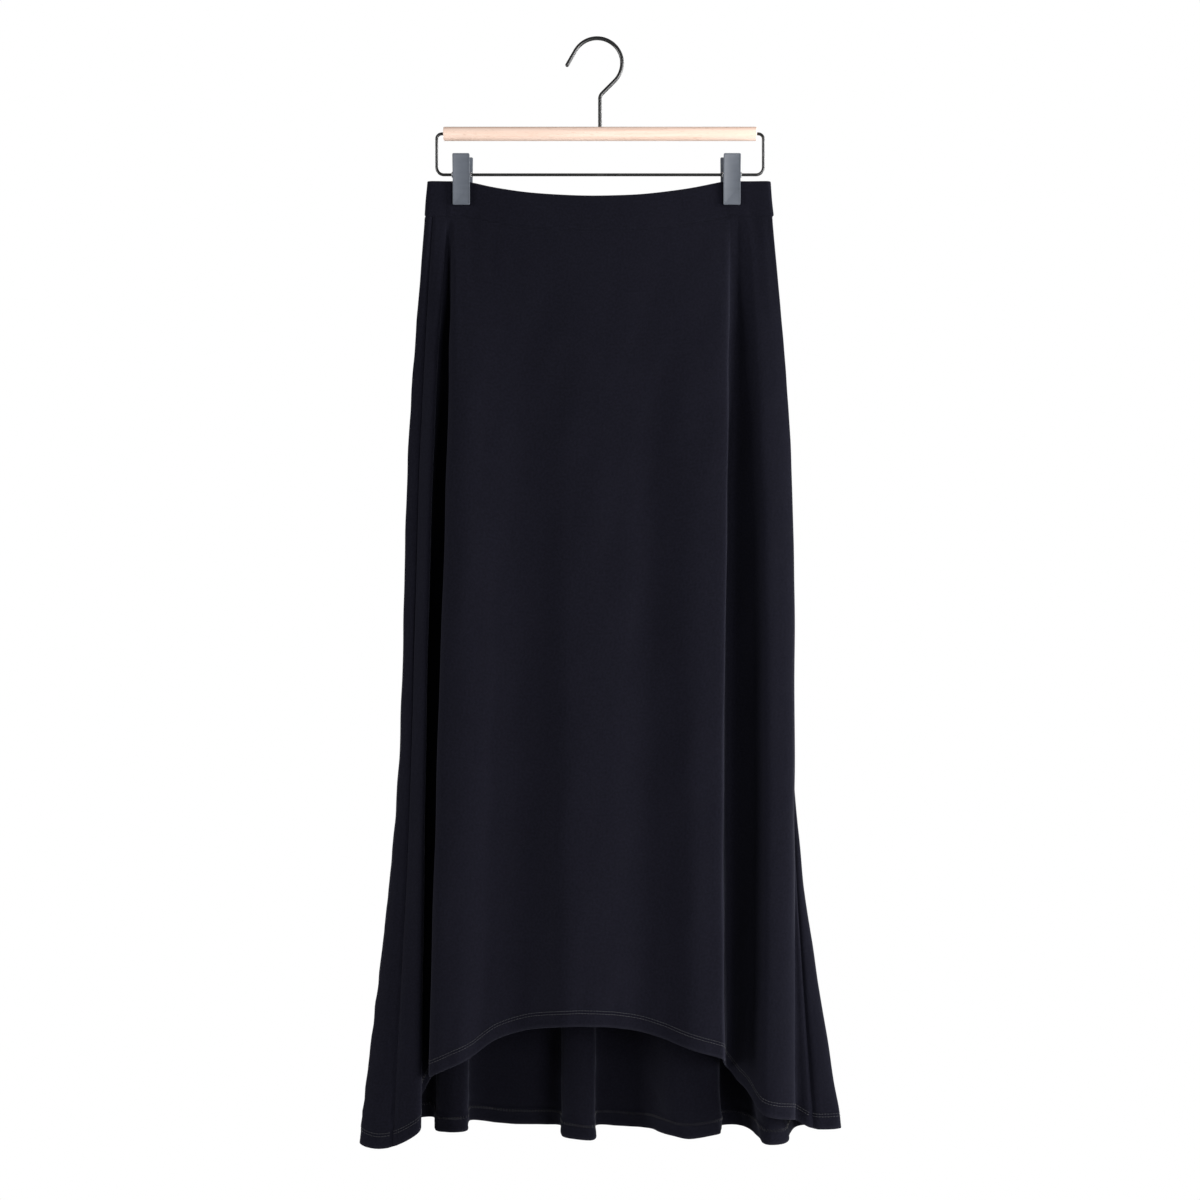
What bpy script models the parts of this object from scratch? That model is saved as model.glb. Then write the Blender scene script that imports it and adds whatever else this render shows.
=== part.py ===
"""A high-low maxi skirt of plain jersey, hung by its waistband from a clip hanger.

The skirt is a closed tube in four cut pieces: a waistband, a front panel and a back panel, with a seam
down each side. The front hem is cut higher than the back hem. The clips pinch the waistband flat and the
flare drops from them in deep lengthwise folds. The hanger is a wooden dowel with a wire hook, a wire
frame under it and two clips that ride on the frame.

Frame: the origin is where the hook bears on whatever it hangs from, +Z is up and the front faces -Y.
"""

import math

import bmesh
import bpy
import numpy as np

MM = 0.001                 # every size below is in millimetres
GAP = 0.3                  # clearance between two pieces that meet

# Cloth
WALL = 1.6                 # thickness of the cloth wall
WAIST = -152.6             # top edge of the waistband at the clips
BAND = 37.5                # height of the finished waistband
SAG = 17.0                 # how far the waistband dips between the clips
SAG_MIDDLE = -6.0          # the lowest point of the dip, and half its width
SAG_REACH = 140.0
BAND_TAPER = 0.983         # the waistband's top edge is this much narrower than its seam
PINCH = 1.6                # distance from the clips' plane to the cloth that they hold
ROWS = 15                  # cells down a panel, down the waistband, and the widest cell across
BAND_ROWS = 2
CELL = 17.0

# Heights at which the table gives each lengthwise line of the cloth: waist seam, hip, knee and floor
HEIGHTS = (-196.0, -390.0, -830.0, -1190.0)

# One row for each lengthwise line, in order round the tube. turn is how sharply the cloth folds over the
# line (the length taken off the corner, 0 for a soft line); x and y are its place at each height above,
# and hem is the height where it ends.
COLUMNS = ("line", "turn", "x_seam", "x_hip", "x_knee", "x_floor",
           "y_seam", "y_hip", "y_knee", "y_floor", "hem")
FRONT = (
    ("left_seam",            0, -181, -192, -205, -222, -2.6,  -6, -14, -20, -1189),
    ("left_fold_edge",       5, -166, -176, -187, -191, -1.9, -16, -23, -27, -1171),
    ("left_trough_outer",    4, -166, -179, -192, -196, -1.6,   2,   4,   4, -1146),
    ("left_trough_inner",    4, -160, -160, -172, -184, -1.6,   2,   4,   4, -1117),
    ("main_left_edge",       4, -159, -162, -174, -183, -1.9, -24, -41, -47, -1108),
    ("main_left_ridge",      0, -141, -141, -150, -150, -1.7, -27, -45, -50, -1094),
    ("left_valley_edge",     0, -122, -122, -128, -138, -3.2, -25, -42, -45, -1087),
    ("left_valley_side",     0, -104, -106, -110, -113, -4.6, -23.5, -36, -37, -1071),
    ("left_valley",          0,  -76,  -78,  -80,  -78, -6.4, -22.5, -33, -33, -1061),
    ("centre_ridge",         0,  -20,  -20,  -34,  -38, -8.0, -26, -46, -54, -1054),
    ("centre_flank",         0,   25,   25,    8,    4, -8.0, -25, -43, -48, -1055),
    ("right_valley",         0,   52,   54,   50,   48, -7.2, -23.5, -36, -38, -1063),
    ("right_ridge",          0,   98,   98,   98,   98, -4.4, -26, -45, -51, -1079),
    ("main_right_edge",      2,  137,  136,  129,  130, -1.9, -23, -41, -46, -1089),
    ("right_trough",         9,  144,  140,  137,  139, -1.5,   6,  11,  12, -1112),
    ("right_flank_edge",     4,  155,  161,  165,  157, -1.8,  -8, -14, -17, -1131),
    ("right_flank",          0,  163,  172,  178,  172, -1.9, -14, -31, -36, -1150),
    ("right_crest",          0,  174,  186,  194,  188, -2.4, -13, -29, -36, -1155),
    ("right_fold_edge",      6,  184,  202,  210,  206, -2.8,  -8, -20, -28, -1158),
    ("right_fold_return",    3,  186,  202,  206,  209, -1.7,  -3,  -7,  -6, -1163),
    ("right_seam",           0,  187,  201,  208,  231,  0.2,   2,  -3,  -8, -1173),
)
BACK = (
    ("right_side_edge",      5,  185,  197,  213,  266,  2.2,   6,   3,  -1, -1174),
    ("right_back_corner",    0,  174,  187,  200,  240,  2.6,  13,  22,  24, -1177),
    ("fold_4_right_root",    6,  160,  176,  187,  214,  1.7,  17,  34,  42, -1183),
    ("fold_4_right_edge",    5,  152,  167,  176,  200,  1.7,  17,  20,  -4, -1190),
    ("fold_4_left_edge",     4,  144,  157,  164,  179,  1.7,  17,  18,  -9, -1190),
    ("fold_4_left_root",     5,  136,  148,  153,  166,  1.9,  17,  31,  34, -1184),
    ("trough_4",             0,  128,  138,  142,  151,  2.6,  17,  37,  47, -1183),
    ("fold_3_right_root",    5,  118,  127,  129,  132,  3.6,  17,  37,  46, -1183),
    ("fold_3_right_edge",    4,  108,  115,  122,  130,  4.6,  18,  24,   4, -1182),
    ("fold_3_crest",         0,   92,   96,   98,   96,  5.6,  18,  20,  -3, -1185),
    ("fold_3_left_edge",     0,   76,   78,   78,   74,  6.4,  18,  22,   5, -1183),
    ("fold_3_left_root",     0,   56,   58,   58,   55,  7.2,  18,  31,  29, -1182),
    ("trough_3",             0,   30,   32,   33,   31,  7.8,  19,  36,  43, -1184),
    ("fold_2_right_root",    5,    7,    7,    0,   -6,  8.0,  19,  35,  45, -1182),
    ("fold_2_right_edge",    4,   -5,   -5,   -6,   -7,  8.0,  19,  23,  -4, -1187),
    ("fold_2_left_edge",     4,  -36,  -38,  -39,  -41,  8.0,  19,  23,   4, -1185),
    ("fold_2_left_root",     5,  -50,  -52,  -46,  -41,  7.8,  18,  34,  42, -1182),
    ("trough_2",             0,  -86,  -91,  -95,  -99,  6.2,  18,  37,  47, -1182),
    ("fold_1_right_root",    5, -120, -130, -138, -145,  3.4,  17,  35,  42, -1176),
    ("fold_1_right_edge",    4, -129, -139, -142, -145,  2.4,  17,  26,   7, -1180),
    ("fold_1_left_edge",     4, -147, -160, -168, -177,  1.7,  16,  27,  14, -1182),
    ("fold_1_left_root",     6, -155, -170, -179, -183,  1.7,  16,  38,  52, -1174),
    ("left_back_corner",     0, -168, -186, -203, -226,  2.2,  13,  30,  37, -1180),
    ("left_back_side",       0, -182, -198, -215, -247,  2.7,   8,  14,  15, -1187),
    ("left_side_edge",       5, -191, -206, -222, -262,  0.1,   0,  -2,  -6, -1188),
    ("left_front_wrap",      0, -186, -200, -214, -241, -2.5,  -4, -11, -17, -1192),
)

# Hanger
DOWEL_RADIUS = 7.5
DOWEL_HALF = 169.0
DOWEL_Z = -101.2
BORE_DEPTH = 14.0          # depth of the three holes that hold the wires in the dowel
HOOK_WIRE = 2.1            # radius of the hook's wire
HOOK_RADIUS = 27.0         # of the hook's bow, at the middle of the wire
HOOK_OFFSET = -3.2         # the bow's centre stands this far to the side of the stem
HOOK_SWEEP = (150, -45)    # the bow runs from the tip's side to the stem's side, in degrees
HOOK_TIP = 20.0            # straight length from the bow to the tip
HOOK_NECK = 9.0            # radius of the bend from the bow into the stem
FRAME_WIRE = 1.6           # radius of the frame's wire
FRAME_HALF = 176.4
FRAME_Z = -145.4
FRAME_BENDS = (5.5, 8.0)   # radii of its upper and lower bends
WIRE_STEP = 15             # degrees between two points on a bend

# Clips: the profile of a jaw's inner face, from the grip to the finger end, for the rear jaw
CLIPS = (("left", -149.5), ("right", 142.2))
REAR_SHIFT = 2.4           # the rear jaw stands this far nearer the hanger's middle
JAW_WIDTH = 18.4
JAW_PLATE = 2.4            # thickness of a jaw
JAW_BEVEL = 0.7
GRIP = PINCH + WALL / 2 + 2 * GAP
JAW_PROFILE = ((GRIP, -178.5), (GRIP, -158.0), (4.8, -147.0), (9.0, -124.5))
SPRING_RADIUS = 3.6        # of the steel sleeve that holds the jaws to the wire
SPRING_HALF = 10.6


def clear_scene():
    for thing in list(bpy.data.objects):
        bpy.data.objects.remove(thing, do_unlink=True)


def material(name, colour, roughness, metallic=0.0):
    made = bpy.data.materials.new(name)
    made.use_nodes = True
    shader = made.node_tree.nodes["Principled BSDF"]
    shader.inputs["Base Color"].default_value = (*colour, 1.0)
    shader.inputs["Roughness"].default_value = roughness
    shader.inputs["Metallic"].default_value = metallic
    return made


def add_object(name, mesh, surface):
    made = bpy.data.objects.new(name, mesh)
    made.data.materials.append(surface)
    bpy.context.scene.collection.objects.link(made)
    return made


# The cloth's surface

def waist_height(x):
    """Height of the waistband's top edge, which dips between the clips."""
    reach = abs(x - SAG_MIDDLE) / SAG_REACH
    return WAIST - SAG * (1 - min(reach, 1) ** 2.2)


def through_heights(values, z):
    """A smooth curve through a line's four places, read at height z."""
    h = np.array(HEIGHTS)
    v = np.array(values, float)
    run = np.diff(h)
    slope = np.diff(v) / run
    bend = np.empty(len(h))
    bend[1:-1] = (slope[:-1] * run[1:] + slope[1:] * run[:-1]) / (run[:-1] + run[1:])
    bend[0] = slope[0]
    bend[-1] = slope[-1]
    i = min(sum(z < mark for mark in h[1:-1]), len(run) - 1)
    t = (z - h[i]) / run[i]
    if t < 0:
        return v[i] + bend[i] * (z - h[i])
    return ((1 + 2 * t) * (1 - t) ** 2 * v[i] + t * (1 - t) ** 2 * run[i] * bend[i]
            + t * t * (3 - 2 * t) * v[i + 1] + t * t * (t - 1) * run[i] * bend[i + 1])


def line_point(line, part):
    """The point of a lengthwise line at this part of its length, from 0 at the waist seam to 1 at the hem."""
    top = waist_height(line["x_seam"]) - BAND
    z = top + part * (line["hem"] - top)
    x = through_heights([line["x_" + name] for name in ("seam", "hip", "knee", "floor")], z)
    y = through_heights([line["y_" + name] for name in ("seam", "hip", "knee", "floor")], z)
    return np.array((x, y, z))


def fold_corners(points, turns):
    """Take the corner off each line that the cloth folds over, so that its edge is narrow and round."""
    corners = []
    for i, turn in enumerate(turns):
        here = points[i]
        if turn == 0:
            corners.append(here)
            continue
        for other in (points[i - 1], points[(i + 1) % len(points)]):
            away = other - here
            length = np.linalg.norm(away)
            corners.append(here + away * min(turn / length, 0.4))
    return corners


def smooth_span(a, b, c, d, count):
    """Points from b up to c on the smooth curve through four neighbours."""
    ab, bc, cd = (max(np.linalg.norm(q - p), 1e-6) ** 0.5 for p, q in ((a, b), (b, c), (c, d)))
    start = ((b - a) / ab - (c - a) / (ab + bc) + (c - b) / bc) * bc
    end = ((c - b) / bc - (d - b) / (bc + cd) + (d - c) / cd) * bc
    t = (np.arange(count) / count)[:, None]
    return ((1 + 2 * t) * (1 - t) ** 2 * b + t * (1 - t) ** 2 * start
            + t * t * (3 - 2 * t) * c + t * t * (t - 1) * end)


def cloth_section(part, counts=None):
    """One closed ring round the skirt, and the number of cells in each of its spans."""
    lines = [dict(zip(COLUMNS, row)) for row in FRONT + BACK]
    ring = fold_corners([line_point(line, part) for line in lines], [line["turn"] for line in lines])
    size = len(ring)
    if counts is None:
        spans = [np.linalg.norm(ring[(i + 1) % size] - ring[i]) for i in range(size)]
        counts = [max(1, math.ceil(span / CELL)) for span in spans]
    pieces = [smooth_span(ring[i - 1], ring[i], ring[(i + 1) % size], ring[(i + 2) % size], counts[i])
              for i in range(size)]
    return np.concatenate(pieces), counts


def outward(grid):
    """Level unit normals of a grid of rings, pointing out of the tube."""
    along = np.roll(grid, -1, axis=1) - np.roll(grid, 1, axis=1)
    normal = np.stack((along[..., 1], -along[..., 0], np.zeros(grid.shape[:2])), axis=2)
    return normal / np.linalg.norm(normal, axis=2, keepdims=True)


def skirt_grid():
    """The rings of the two panels, from the waist seam to the hem, and the right seam's column."""
    counts = cloth_section(1.0)[1]
    parts = (np.arange(ROWS + 1) / ROWS) ** 1.15
    grid = np.array([cloth_section(part, counts)[0] for part in parts])
    corners_in_front = sum(1 if row[1] == 0 else 2 for row in FRONT)
    return grid, sum(counts[:corners_in_front - 1])


def band_grid(seam_ring):
    """The rings of the waistband, from its top edge to the seam, with the cloth flat where it is held."""
    rings = []
    for part in np.linspace(0, 1, BAND_ROWS + 1):
        ring = seam_ring.copy()
        ring[:, 0] *= BAND_TAPER + (1 - BAND_TAPER) * part
        ring[:, 2] += BAND * (1 - part)
        rings.append(ring)
    return np.array(rings)


def wall(name, grid, normals, closed, surface):
    """A solid wall of cloth on a grid: its outer and inner faces, and the strips that join them."""
    rows, columns = grid.shape[:2]
    points = np.concatenate([(grid + normals * side * WALL / 2).reshape(-1, 3) for side in (1, -1)])
    inner = rows * columns
    wraps = columns if closed else columns - 1

    def at(row, column, side=0):
        return side * inner + row * columns + column % columns

    faces = []

    def patch(corners, turned):
        faces.append(corners[::-1] if turned else corners)

    for row in range(rows - 1):
        for column in range(wraps):
            for side in (0, 1):
                patch([at(row, column, side), at(row + 1, column, side),
                       at(row + 1, column + 1, side), at(row, column + 1, side)], side == 1)
    for column in range(wraps):
        for row in (0, rows - 1):
            patch([at(row, column), at(row, column + 1),
                   at(row, column + 1, 1), at(row, column, 1)], row > 0)
    if not closed:
        for row in range(rows - 1):
            for column in (0, columns - 1):
                patch([at(row, column), at(row, column, 1),
                       at(row + 1, column, 1), at(row + 1, column)], column > 0)

    mesh = bpy.data.meshes.new(name)
    mesh.from_pydata((points * MM).tolist(), [], faces)
    mesh.shade_smooth()
    mesh.set_sharp_from_angle(angle=math.radians(50))
    return add_object(name, mesh, surface)


def panel(name, grid, normals, first, last, surface):
    """The part of the skirt between two seam columns, drawn back by half a gap at each seam."""
    columns = np.arange(first, last + 1) % grid.shape[1]
    cloth = grid[:, columns].copy()
    for edge, neighbour in ((0, 1), (-1, -2)):
        inward = cloth[:, neighbour] - cloth[:, edge]
        length = np.linalg.norm(inward, axis=1, keepdims=True)
        cloth[:, edge] += inward / length * GAP / 2
    cloth[0, :, 2] -= GAP / 2
    return wall(name, cloth, normals[:, columns], False, surface)


def make_skirt(surface):
    grid, right_seam = skirt_grid()
    normals = outward(grid)
    panel("front_panel", grid, normals, 0, right_seam, surface)
    panel("back_panel", grid, normals, right_seam, grid.shape[1], surface)
    band = band_grid(grid[0])
    band[-1, :, 2] += GAP / 2
    wall("waistband", band, outward(band), True, surface)


# The hanger

def bend(corner, before, after, radius):
    """Points on the round bend that replaces a corner between two straight runs."""
    a = (before - corner) / np.linalg.norm(before - corner)
    b = (after - corner) / np.linalg.norm(after - corner)
    half = math.acos(np.clip(a @ b, -1, 1)) / 2
    centre = corner + (a + b) / np.linalg.norm(a + b) * radius / math.sin(half)
    first = corner + a * radius / math.tan(half) - centre
    last = corner + b * radius / math.tan(half) - centre
    sweep = math.pi - 2 * half
    steps = max(2, round(math.degrees(sweep) / WIRE_STEP))
    return [centre + (first * math.sin((1 - t) * sweep) + last * math.sin(t * sweep)) / math.sin(sweep)
            for t in np.linspace(0, 1, steps + 1)]


def bent_route(corners, radii):
    """A route through the corners with a round bend of the given radius at each inner one."""
    places = [np.array(corner, float) for corner in corners]
    route = [places[0]]
    for i, radius in enumerate(radii, start=1):
        route += bend(places[i], places[i - 1], places[i + 1], radius)
    return route + [places[-1]]


def wire(name, route, radius, surface):
    """A round wire along a route in the X-Z plane, with closed ends."""
    curve = bpy.data.curves.new(name, "CURVE")
    curve.dimensions = "3D"
    curve.bevel_depth = radius * MM
    curve.bevel_resolution = 3
    curve.use_fill_caps = True
    spline = curve.splines.new("POLY")
    spline.points.add(len(route) - 1)
    for point, (x, z) in zip(spline.points, route):
        point.co = (x * MM, 0.0, z * MM, 1.0)
    return add_object(name, curve, surface)


def make_hook(surface):
    centre = np.array((HOOK_OFFSET, HOOK_WIRE - HOOK_RADIUS))
    start, end = (math.radians(angle) for angle in HOOK_SWEEP)
    steps = round(math.degrees(start - end) / WIRE_STEP)
    bow = [centre + HOOK_RADIUS * np.array((math.cos(a), math.sin(a)))
           for a in np.linspace(start, end, steps + 1)]
    tip = bow[0] - HOOK_TIP * np.array((math.sin(start), -math.cos(start)))
    corner = np.array((0.0, bow[-1][1] - bow[-1][0]))
    foot = np.array((0.0, DOWEL_Z + DOWEL_RADIUS - BORE_DEPTH + 2 * GAP))
    neck = bend(corner, bow[-1], foot, HOOK_NECK)
    return wire("hanger_hook", [tip] + bow + neck + [foot], HOOK_WIRE, surface)


def make_frame(surface):
    end = DOWEL_HALF - BORE_DEPTH + 2 * GAP
    upper, lower = FRAME_BENDS
    corners = ((-end, DOWEL_Z), (-FRAME_HALF, DOWEL_Z), (-FRAME_HALF, FRAME_Z),
               (FRAME_HALF, FRAME_Z), (FRAME_HALF, DOWEL_Z), (end, DOWEL_Z))
    return wire("hanger_frame", bent_route(corners, (upper, lower, lower, upper)), FRAME_WIRE, surface)


def cylinder(name, radius, length, place, turned, sides=32):
    """A round bar with its middle at a place in millimetres, along X where it is turned."""
    shape = bmesh.new()
    bmesh.ops.create_cone(shape, cap_ends=True, segments=sides, radius1=radius * MM, radius2=radius * MM,
                          depth=length * MM)
    mesh = bpy.data.meshes.new(name)
    shape.to_mesh(mesh)
    shape.free()
    made = bpy.data.objects.new(name, mesh)
    bpy.context.scene.collection.objects.link(made)
    made.location = [value * MM for value in place]
    made.rotation_euler = (0, math.radians(90), 0) if turned else (0, 0, 0)
    return made


def drill(body, cutter):
    """Cut a guide shape out of a body, and keep the guide as a hidden wire shape."""
    cutter.hide_render = True
    cutter.display_type = "WIRE"
    cut = body.modifiers.new(cutter.name, "BOOLEAN")
    cut.operation = "DIFFERENCE"
    cut.object = cutter


def make_dowel(surface):
    dowel = cylinder("hanger_dowel", DOWEL_RADIUS, 2 * DOWEL_HALF, (0, 0, DOWEL_Z), True)
    dowel.data.materials.append(surface)
    dowel.data.shade_smooth()
    dowel.data.set_sharp_from_angle(angle=math.radians(40))
    hook_bore = cylinder("hook_bore", HOOK_WIRE + GAP, 2 * BORE_DEPTH,
                         (0, 0, DOWEL_Z + DOWEL_RADIUS), False, sides=16)
    drill(dowel, hook_bore)
    for side, name in ((-1, "left"), (1, "right")):
        bore = cylinder("frame_bore_" + name, FRAME_WIRE + GAP, 2 * BORE_DEPTH,
                        (side * DOWEL_HALF, 0, DOWEL_Z), True, sides=16)
        drill(dowel, bore)
    return dowel


def jaw(name, middle, side, surface):
    """A pressed jaw: its profile, with a plate's thickness, across the clip's width."""
    inner = [(y, z) for y, z in JAW_PROFILE]
    outer = [(y + JAW_PLATE, z) for y, z in reversed(JAW_PROFILE)]
    outline = inner + outer
    shape = bmesh.new()
    left = middle - JAW_WIDTH / 2
    corners = [shape.verts.new((left * MM, side * y * MM, z * MM)) for y, z in outline]
    face = shape.faces.new(corners)
    swept = bmesh.ops.extrude_face_region(shape, geom=[face])
    moved = [item for item in swept["geom"] if isinstance(item, bmesh.types.BMVert)]
    bmesh.ops.translate(shape, verts=moved, vec=(JAW_WIDTH * MM, 0, 0))
    bmesh.ops.recalc_face_normals(shape, faces=shape.faces[:])
    mesh = bpy.data.meshes.new(name)
    shape.to_mesh(mesh)
    shape.free()
    made = add_object(name, mesh, surface)
    rounding = made.modifiers.new("rounded_edges", "BEVEL")
    rounding.width = JAW_BEVEL * MM
    rounding.segments = 2
    rounding.limit_method = "ANGLE"
    rounding.angle_limit = math.radians(40)
    return made


def make_clips(jaw_surface, spring_surface):
    for name, middle in CLIPS:
        rear_middle = middle - math.copysign(REAR_SHIFT, middle)
        jaw(f"clip_{name}_front_jaw", middle, -1, jaw_surface)
        jaw(f"clip_{name}_rear_jaw", rear_middle, 1, jaw_surface)
        spring = cylinder(f"clip_{name}_spring", SPRING_RADIUS, 2 * SPRING_HALF, (middle, 0, FRAME_Z), True,
                          sides=20)
        spring.data.materials.append(spring_surface)
        bore = cylinder(f"clip_{name}_wire_way", FRAME_WIRE + GAP, 4 * SPRING_HALF, (middle, 0, FRAME_Z), True,
                        sides=16)
        drill(spring, bore)


def main():
    clear_scene()
    jersey = material("black_jersey", (0.010, 0.010, 0.014), 0.85)
    lacquer = material("black_lacquered_wire", (0.012, 0.012, 0.013), 0.45)
    beech = material("pale_beech", (0.86, 0.70, 0.56), 0.55)
    slate = material("slate_plastic", (0.090, 0.098, 0.120), 0.50)
    steel = material("sprung_steel", (0.62, 0.62, 0.64), 0.30, metallic=1.0)
    make_skirt(jersey)
    make_hook(lacquer)
    make_frame(lacquer)
    make_dowel(beech)
    make_clips(slate, steel)


main()
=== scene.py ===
"""A black jersey maxi skirt, short in front and long behind, on a hanger with two clips."""
import math

import bpy
import numpy as np
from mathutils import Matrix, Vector


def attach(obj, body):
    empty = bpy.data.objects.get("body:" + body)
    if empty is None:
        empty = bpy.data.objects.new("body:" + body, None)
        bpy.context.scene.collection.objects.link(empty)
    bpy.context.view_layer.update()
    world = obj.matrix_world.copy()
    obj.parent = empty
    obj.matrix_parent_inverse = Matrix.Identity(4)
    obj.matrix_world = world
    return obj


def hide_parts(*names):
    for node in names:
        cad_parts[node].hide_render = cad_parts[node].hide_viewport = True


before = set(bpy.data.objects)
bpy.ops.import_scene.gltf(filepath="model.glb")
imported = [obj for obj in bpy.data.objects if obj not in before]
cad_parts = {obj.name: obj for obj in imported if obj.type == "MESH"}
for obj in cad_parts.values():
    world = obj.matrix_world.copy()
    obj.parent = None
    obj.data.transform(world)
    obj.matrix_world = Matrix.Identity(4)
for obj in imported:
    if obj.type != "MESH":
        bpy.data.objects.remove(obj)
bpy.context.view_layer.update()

MM = 0.001

# Angles, in degrees, over which an edge stays sharp
HARD_EDGE = 40
CLOTH_EDGE = 60

# The cloth's lines, in millimetres: the same lengthwise lines that the solids are made from, in order
# round the tube. turn is how sharply the cloth folds over the line, x and y are its place at each height
# above, and hem is the height where it ends.
WAIST = -152.6
BAND = 37.5
SAG = 17.0
SAG_MIDDLE = -6.0
SAG_REACH = 140.0
BAND_TAPER = 0.983
HEIGHTS = (-196.0, -390.0, -830.0, -1190.0)
COLUMNS = ("line", "turn", "x_seam", "x_hip", "x_knee", "x_floor",
           "y_seam", "y_hip", "y_knee", "y_floor", "hem")
FRONT = (
    ("left_seam",            0, -181, -192, -205, -222, -2.6,  -6, -14, -20, -1189),
    ("left_fold_edge",       5, -166, -176, -187, -191, -1.9, -16, -23, -27, -1171),
    ("left_trough_outer",    4, -166, -179, -192, -196, -1.6,   2,   4,   4, -1146),
    ("left_trough_inner",    4, -160, -160, -172, -184, -1.6,   2,   4,   4, -1117),
    ("main_left_edge",       4, -159, -162, -174, -183, -1.9, -24, -41, -47, -1108),
    ("main_left_ridge",      0, -141, -141, -150, -150, -1.7, -27, -45, -50, -1094),
    ("left_valley_edge",     0, -122, -122, -128, -138, -3.2, -25, -42, -45, -1087),
    ("left_valley_side",     0, -104, -106, -110, -113, -4.6, -23.5, -36, -37, -1071),
    ("left_valley",          0,  -76,  -78,  -80,  -78, -6.4, -22.5, -33, -33, -1061),
    ("centre_ridge",         0,  -20,  -20,  -34,  -38, -8.0, -26, -46, -54, -1054),
    ("centre_flank",         0,   25,   25,    8,    4, -8.0, -25, -43, -48, -1055),
    ("right_valley",         0,   52,   54,   50,   48, -7.2, -23.5, -36, -38, -1063),
    ("right_ridge",          0,   98,   98,   98,   98, -4.4, -26, -45, -51, -1079),
    ("main_right_edge",      2,  137,  136,  129,  130, -1.9, -23, -41, -46, -1089),
    ("right_trough",         9,  144,  140,  137,  139, -1.5,   6,  11,  12, -1112),
    ("right_flank_edge",     4,  155,  161,  165,  157, -1.8,  -8, -14, -17, -1131),
    ("right_flank",          0,  163,  172,  178,  172, -1.9, -14, -31, -36, -1150),
    ("right_crest",          0,  174,  186,  194,  188, -2.4, -13, -29, -36, -1155),
    ("right_fold_edge",      6,  184,  202,  210,  206, -2.8,  -8, -20, -28, -1158),
    ("right_fold_return",    3,  186,  202,  206,  209, -1.7,  -3,  -7,  -6, -1163),
    ("right_seam",           0,  187,  201,  208,  231,  0.2,   2,  -3,  -8, -1173),
)
BACK = (
    ("right_side_edge",      5,  185,  197,  213,  266,  2.2,   6,   3,  -1, -1174),
    ("right_back_corner",    0,  174,  187,  200,  240,  2.6,  13,  22,  24, -1177),
    ("fold_4_right_root",    6,  160,  176,  187,  214,  1.7,  17,  34,  42, -1183),
    ("fold_4_right_edge",    5,  152,  167,  176,  200,  1.7,  17,  20,  -4, -1190),
    ("fold_4_left_edge",     4,  144,  157,  164,  179,  1.7,  17,  18,  -9, -1190),
    ("fold_4_left_root",     5,  136,  148,  153,  166,  1.9,  17,  31,  34, -1184),
    ("trough_4",             0,  128,  138,  142,  151,  2.6,  17,  37,  47, -1183),
    ("fold_3_right_root",    5,  118,  127,  129,  132,  3.6,  17,  37,  46, -1183),
    ("fold_3_right_edge",    4,  108,  115,  122,  130,  4.6,  18,  24,   4, -1182),
    ("fold_3_crest",         0,   92,   96,   98,   96,  5.6,  18,  20,  -3, -1185),
    ("fold_3_left_edge",     0,   76,   78,   78,   74,  6.4,  18,  22,   5, -1183),
    ("fold_3_left_root",     0,   56,   58,   58,   55,  7.2,  18,  31,  29, -1182),
    ("trough_3",             0,   30,   32,   33,   31,  7.8,  19,  36,  43, -1184),
    ("fold_2_right_root",    5,    7,    7,    0,   -6,  8.0,  19,  35,  45, -1182),
    ("fold_2_right_edge",    4,   -5,   -5,   -6,   -7,  8.0,  19,  23,  -4, -1187),
    ("fold_2_left_edge",     4,  -36,  -38,  -39,  -41,  8.0,  19,  23,   4, -1185),
    ("fold_2_left_root",     5,  -50,  -52,  -46,  -41,  7.8,  18,  34,  42, -1182),
    ("trough_2",             0,  -86,  -91,  -95,  -99,  6.2,  18,  37,  47, -1182),
    ("fold_1_right_root",    5, -120, -130, -138, -145,  3.4,  17,  35,  42, -1176),
    ("fold_1_right_edge",    4, -129, -139, -142, -145,  2.4,  17,  26,   7, -1180),
    ("fold_1_left_edge",     4, -147, -160, -168, -177,  1.7,  16,  27,  14, -1182),
    ("fold_1_left_root",     6, -155, -170, -179, -183,  1.7,  16,  38,  52, -1174),
    ("left_back_corner",     0, -168, -186, -203, -226,  2.2,  13,  30,  37, -1180),
    ("left_back_side",       0, -182, -198, -215, -247,  2.7,   8,  14,  15, -1187),
    ("left_side_edge",       5, -191, -206, -222, -262,  0.1,   0,  -2,  -6, -1188),
    ("left_front_wrap",      0, -186, -200, -214, -241, -2.5,  -4, -11, -17, -1192),
)
LINES = [dict(zip(COLUMNS, row)) for row in FRONT + BACK]
LINE_NUMBER = {line["line"]: number for number, line in enumerate(LINES)}

# How finely the cloth is drawn, and its thickness
CELL = 5.6                 # the widest cell across, at the hem
ROW_STEP = 6.0             # height of a row, about
LENGTH = 960.0             # from the waist seam to the hem, about
TOP_MARKS = (0.0, 0.7, 1.5, 2.6, 4.2, 6.6)
HEM_MARKS = (26.0, 22.0, 18.6, 17.6, 17.1, 16.0, 14.4, 12.8, 11.2, 8.6, 5.8, 3.2, 1.4, 0.4)
CLOTH = 0.9
TURN_UP = 17.3             # height of the hem's turned-up edge
BAND_CLOTH = 2.0

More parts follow.
